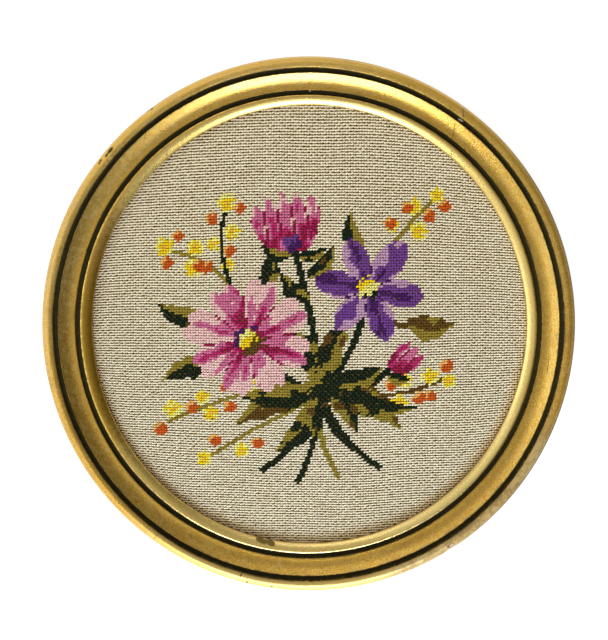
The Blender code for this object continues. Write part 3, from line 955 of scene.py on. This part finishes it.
        # Dirt and painted shade beside the groove lines, and painted shade on the rim's lip.
        line_dirt_and_shade = self.most(*beside) * patchy
        self.lay(self.most(line_dirt_and_shade * 0.65, lip * 0.2, low_outer_shade * 0.7, outer_edge_shade), "dirt_and_shade")
        self.pits = self.between(self.pinholes, 0.70, 0.76) * self.between(self.blotches, 0.42, 0.62)
        self.lay(self.pits * 0.8, "pit")

    def groove_line(self, low, high):
        """1 in a groove between two radii, up to its ragged edges."""
        reach = self.reach + self.uneven * 0.0005 + self.ragged * 0.0003
        past_low = self.between(reach, low - 0.00025, low + 0.00005)
        return past_low * self.between(reach, high + 0.00025, high - 0.00005)

    def lay_wear(self):
        """Patches worn bare, brown stains along the hairlines, the black of the grooves, and small chips."""
        self.worn = self.marks(self.x + self.ragged * 0.0011, self.y, BARE_PATCHES)
        self.worn = self.worn * self.between(self.leaf, 0.22, 0.36)
        self.lay(self.worn * 0.95, "bare_ground", "bare_bead", self.bead)
        self.hairlines = self.marks(self.x + self.uneven * 0.0003, self.y, HAIRLINES)
        self.lay(self.marks(self.x, self.y, STAINS) * 0.3, "stain")
        self.lay(self.hairlines * 0.75, "crack")
        self.black = self.most(self.groove_line(SCOOP_OUTER_RADIUS, RIM_INNER_RADIUS),
                               self.groove_line(BEAD_OUTER_RADIUS, SCOOP_INNER_RADIUS))
        self.lay(self.black, "black", "worn_black", self.leaf)
        self.lay(self.marks(self.x + self.ragged * 0.0006, self.y, CHIPS) * 0.8, "chip")

    def shine(self):
        """How polished, metallic, lacquered and uneven the gilding is from place to place."""
        polish = 0.15 + 0.16 * self.blotches + 0.14 * self.leaf + 0.28 * self.rim - 0.08 * self.sparkle
        metal = 0.92 - 0.85 * self.most(self.black, self.worn * 0.7)
        metal = metal - 0.35 * self.dust - 0.35 * self.bare_rim
        lacquer = 0.45 - 0.2 * self.arris - 0.35 * self.bead + 0.75 * self.lacquered
        lacquer = lacquer - 0.43 * self.black - 0.8 * self.worn - 0.4 * self.outer_shade
        relief = self.streaks * 0.3 + self.leaf * 0.3 + self.grain * 0.5 - self.pits * 0.5
        relief = relief - self.hairlines * 0.8
        self.drive(Base_Color=self.colour, Roughness=self.most(polish, self.black * 0.95, self.worn * 0.62),
                   Metallic=metal, Coat_Weight=self.most(lacquer, 0.0),
                   Normal=self.bump(relief, 0.00026, 0.8))


def gilt_finish():
    """The ring's gilding with all its coats."""
    gilt = Gilding()
    gilt.lay_leaf()
    gilt.tone_members()
    gilt.tone_sides()
    gilt.lay_dirt_and_shade()
    gilt.lay_wear()
    gilt.shine()
    return gilt.material


def wood_finish():
    """The bare back of the turned wood."""
    finish = Finish("bare turned wood", Roughness=0.7)
    stretched = finish.node("ShaderNodeMapping", sockets={
        "Vector": finish.place(), "Scale": Vector((9.0, 160.0, 40.0))})
    grain = finish.noise(stretched, 3.0, 5.0, 0.6)
    finish.drive(Base_Color=finish.blend(grain, (0.20, 0.115, 0.05), (0.42, 0.27, 0.13)),
                 Normal=finish.bump(grain, 0.0002, 0.4))
    return finish.material


def board_finish():
    """Pressed brown board with specks of fibre."""
    finish = Finish("pressed brown board", Roughness=0.85)
    place = finish.place()
    fibre = finish.noise(place, 900.0, 5.0, 0.7)
    mottling = fibre * 0.7 + finish.noise(place, 45.0, 2.0) * 0.3
    finish.drive(Base_Color=finish.blend(mottling, (0.15, 0.085, 0.04), (0.34, 0.22, 0.12)),
                 Normal=finish.bump(fibre, 0.00012, 0.5))
    return finish.material


def soft_light(name, place, size, radiance, tint):
    """A flat soft lamp aimed at the middle. Its strength is given as the brightness of its own face."""
    width, depth = size
    lamp = bpy.data.lights.new(name, "AREA")
    lamp.shape, lamp.size, lamp.size_y = "RECTANGLE", width, depth
    lamp.energy = radiance * math.pi * width * depth
    lamp.color = tint
    item = add_object(name, lamp)
    item.location = place
    item.rotation_euler = (-Vector(place)).to_track_quat("-Z", "Y").to_euler()


def light_room():
    """A pale room that is dimmer to the right, with large soft lamps at its near, left and far sides."""
    world = bpy.data.worlds.new("pale room")
    bpy.context.scene.world = world
    world.use_nodes = True
    tree = world.node_tree
    room = Graph(tree)
    background = tree.nodes["Background"]
    rightward, _, _ = room.parts(room.node("ShaderNodeTexCoord", output="Generated"))
    room.plug(background.inputs["Strength"], 0.445 - 0.42 * rightward)
    background.inputs["Color"].default_value = (1.0, 0.985, 0.96, 1.0)
    soft_light("near lamp", (-0.03, -0.75, 0.49), size=(0.56, 0.48), radiance=8.9, tint=(0.95, 1.0, 1.01))
    soft_light("left lamp", (-0.80, -0.02, 0.47), size=(0.75, 0.50), radiance=1.45, tint=(0.90, 1.0, 1.02))
    soft_light("far lamp", (-0.15, 0.85, 0.55), size=(0.9, 0.30), radiance=1.8, tint=(1.0, 0.99, 0.97))


def make_floor():
    """A plain pale floor under the object."""
    mesh = bpy.data.meshes.new("floor")
    wide = 4.0
    corners = [(-wide, -wide, 0), (wide, -wide, 0), (wide, wide, 0), (-wide, wide, 0)]
    mesh.from_pydata(corners, [], [(0, 1, 2, 3)])
    mesh.materials.append(Finish("plain white floor", Base_Color=(0.50, 0.50, 0.50, 1.0), Roughness=0.9,
                                 Specular_IOR_Level=0.1, Emission_Color=(1.0, 1.0, 1.0, 1.0),
                                 Emission_Strength=0.82).material)
    floor = add_object("floor", mesh)


def make_camera():
    """The camera above the middle, leaning a little to the far side as in the photo."""
    distance = 0.5888
    lean = math.radians(4.3)
    aim = Vector((-0.00211, 0.00347, 0.0112))
    lens = bpy.data.cameras.new("camera")
    lens.sensor_fit, lens.sensor_width, lens.lens = "HORIZONTAL", 36.0, 75.07
    lens.clip_start, lens.clip_end = 0.01, 10.0
    camera = add_object("camera", lens)
    camera.location = aim + distance * Vector((0, math.sin(lean), math.cos(lean)))
    camera.rotation_euler = (-lean, 0, 0)
    bpy.context.scene.camera = camera


def main():
    make_moulding(gilt_finish(), wood_finish())
    canvas = make_canvas(canvas_finish())
    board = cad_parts["backing_board"]
    board.data.materials.clear()
    board.data.materials.append(board_finish())
    finishes = {name: thread_finish(name, colour) for name, colour in THREADS.items()}
    stitches = make_stitches(work_posy(), finishes)
    cut = 2 * (CANVAS_FLAT_RADIUS + CANVAS_CORNER * math.pi / 2 + CANVAS_TURNED_EDGE)
    math.pi * (cut / 2) ** 2
    make_floor()
    light_room()
    make_camera()
    bpy.context.scene.view_settings.view_transform = "Standard"


main()
